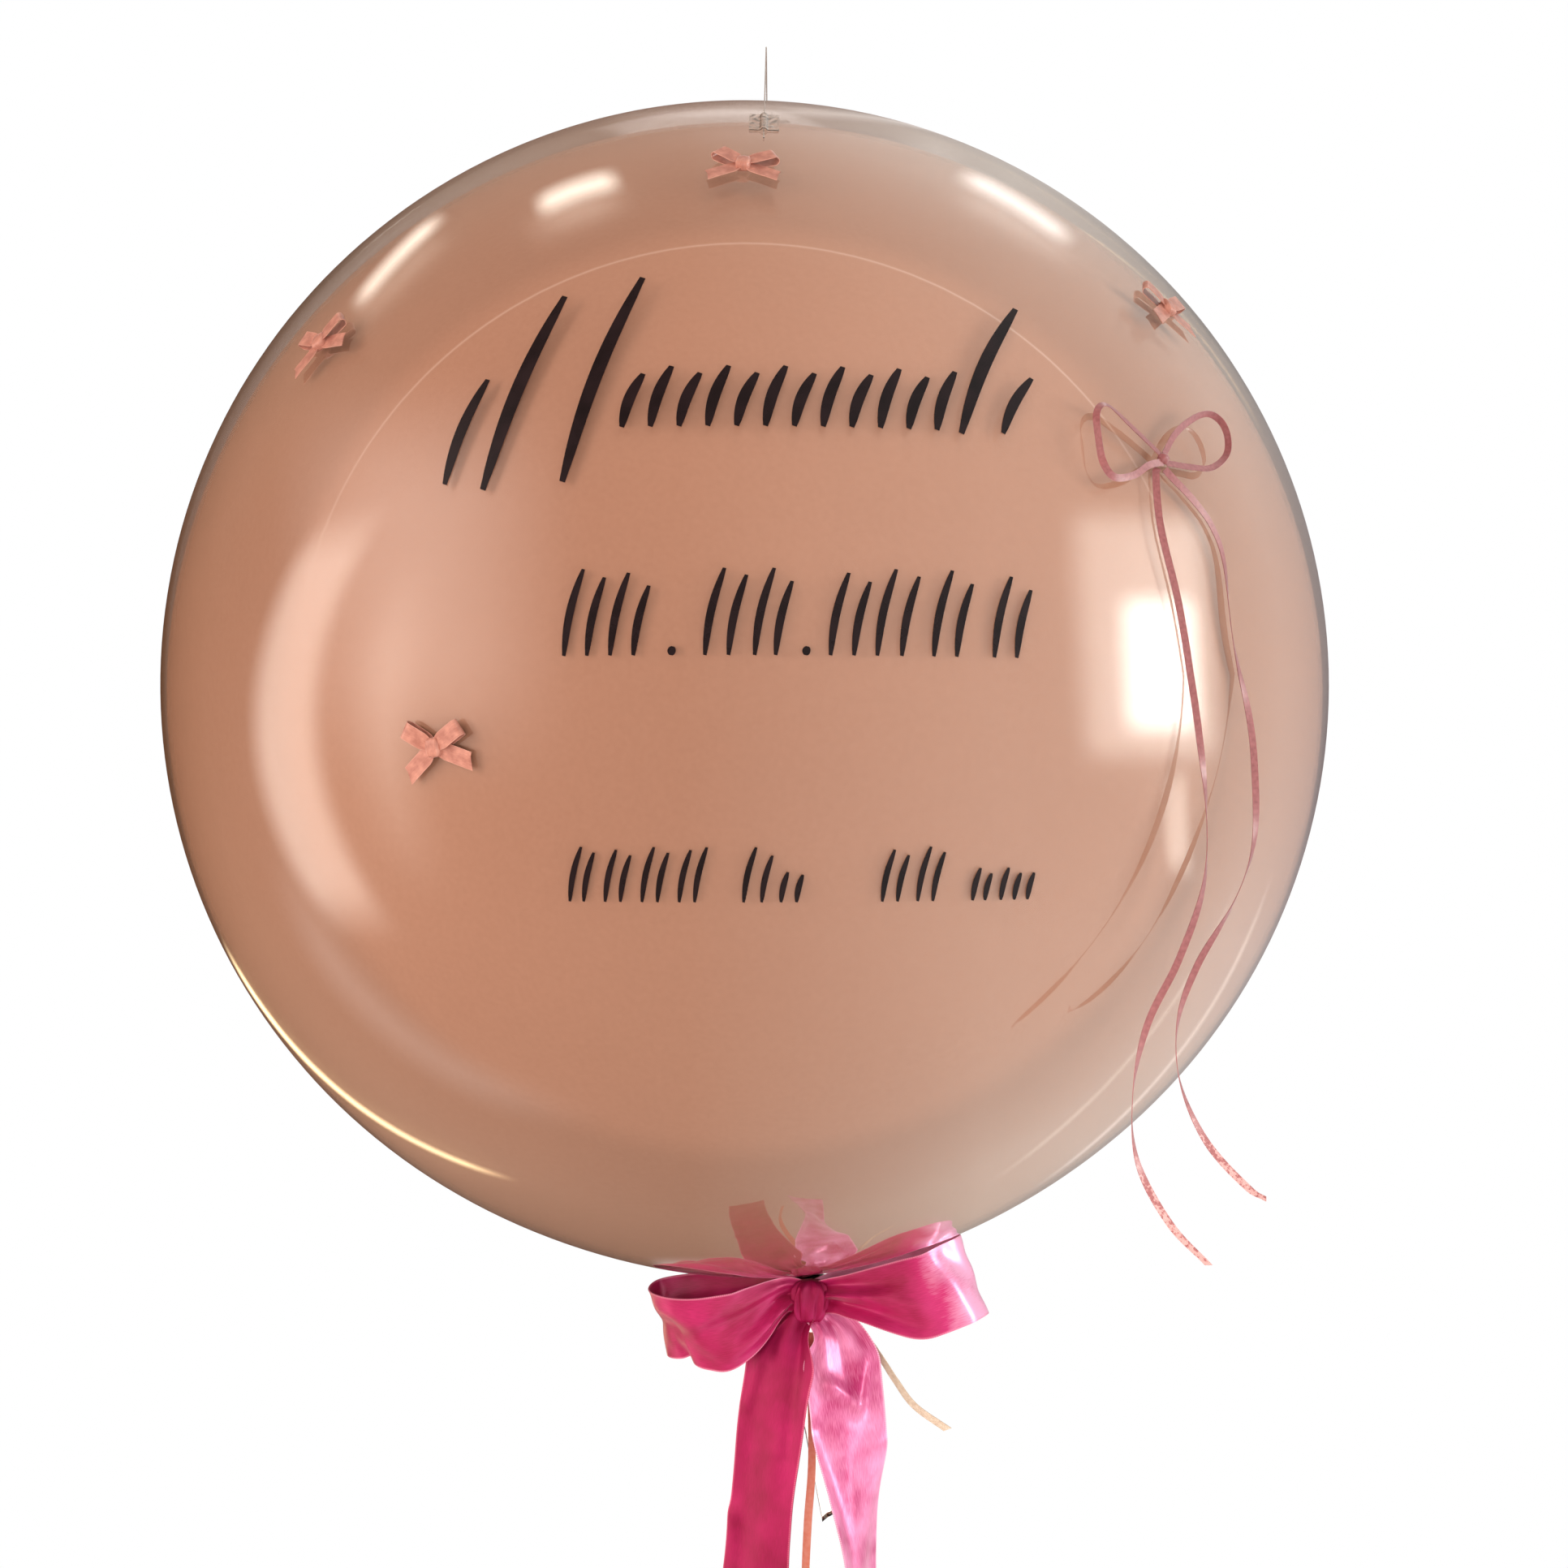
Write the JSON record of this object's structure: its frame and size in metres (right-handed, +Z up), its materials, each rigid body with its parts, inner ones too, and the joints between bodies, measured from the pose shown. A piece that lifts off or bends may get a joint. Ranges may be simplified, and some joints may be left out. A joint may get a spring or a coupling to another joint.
{
  "type": "clear bubble balloon with a balloon inside and a satin bow",
  "caption": "Clear round bubble balloon with a rose balloon sealed inside, tied at the neck with a wide satin bow and hung by a thread.",
  "frame": {"origin": "underside of the bend of the hanging thread, where it lies over the hook that holds the balloon up", "axes": "+Z up, front with the bow's knot and the vinyl strokes at -Y, +X to the right as the front is seen"},
  "size_m": [0.5597, 0.559, 0.856],
  "materials": {
    "clear_film": "clear glossy stretch film",
    "rose_balloon": "glossy latex, seen through the film",
    "black_vinyl": "thin satin sticker film",
    "fuchsia_satin": "double sided satin ribbon with a woven edge",
    "rose_satin": "narrow satin ribbon",
    "salmon_ribbon": "narrow satin ribbon",
    "cream_ribbon": "narrow satin ribbon",
    "clear_tape": "clear adhesive tape and clear thread"
  },
  "bodies": {
    "root": {"bubble": "clear_film", "satin_bow": "fuchsia_satin", "narrow_bow": "rose_satin", "narrow_tail_left": "rose_satin", "narrow_tail_right": "rose_satin", "salmon_ribbon": "salmon_ribbon", "cream_ribbon": "cream_ribbon", "mini_bow_1": "rose_satin", "mini_bow_2": "rose_satin", "mini_bow_3": "rose_satin", "mini_bow_4": "rose_satin", "mini_bow_5": "rose_satin", "mini_bow_6": "rose_satin", "mini_bow_7": "rose_satin", "hang_tab_front": "clear_tape", "hang_tab_back": "clear_tape", "hang_thread": "clear_tape"}
  },
  "joints": []
}
